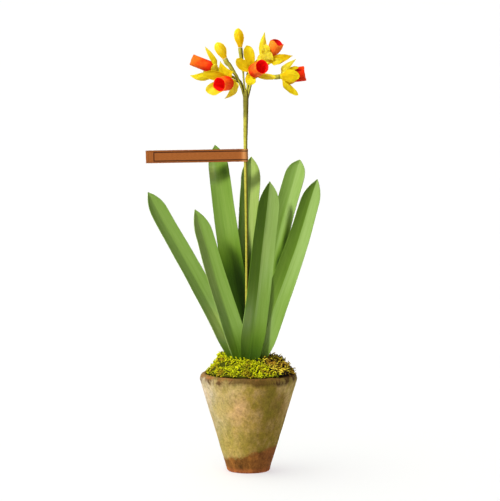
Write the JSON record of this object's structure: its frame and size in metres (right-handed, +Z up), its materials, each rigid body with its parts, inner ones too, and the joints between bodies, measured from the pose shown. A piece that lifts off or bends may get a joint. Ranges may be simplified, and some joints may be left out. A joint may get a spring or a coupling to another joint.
{
  "type": "paper daffodil in a clay pot",
  "caption": "Hand-made paper jonquil with creased green card leaves, yellow flowers with orange cups and closed buds, set in moss in an old clay pot, with a blank kraft paper flag on the stem.",
  "frame": {"origin": "centre of the underside of the pot's foot, on the ground", "axes": "+Z up along the pot and the stem; the front, where the leaves' creases open, faces -Y; +X to the right seen from the front"},
  "size_m": [0.1733, 0.0974, 0.4426],
  "materials": {
    "pot": "weathered clay, matte",
    "filling": "dry floral foam, matte",
    "moss_green": "preserved moss, matte",
    "moss_brown": "preserved moss, matte",
    "leaf": "printed green card, low sheen",
    "stem": "waxed floral tape, low sheen",
    "petal": "yellow crepe paper, matte",
    "cup": "orange paper, red inside, matte",
    "bud": "yellow crepe paper, matte",
    "label": "brown kraft paper, matte"
  },
  "bodies": {
    "root": {"pot": "pot", "filling": "filling", "moss_green": "moss_green", "moss_brown": "moss_brown", "leaf_a": "leaf", "leaf_b": "leaf", "leaf_c": "leaf", "leaf_d": "leaf", "leaf_e": "leaf", "leaf_f": "leaf", "leaf_g": "leaf", "stem": "stem", "petals_1": "petal", "petals_2": "petal", "petals_3": "petal", "petals_4": "petal", "petals_5": "petal", "cup_1": "cup", "cup_2": "cup", "cup_3": "cup", "cup_4": "cup", "cup_5": "cup", "bud_1": "bud", "bud_2": "bud", "label": "label"}
  },
  "joints": []
}
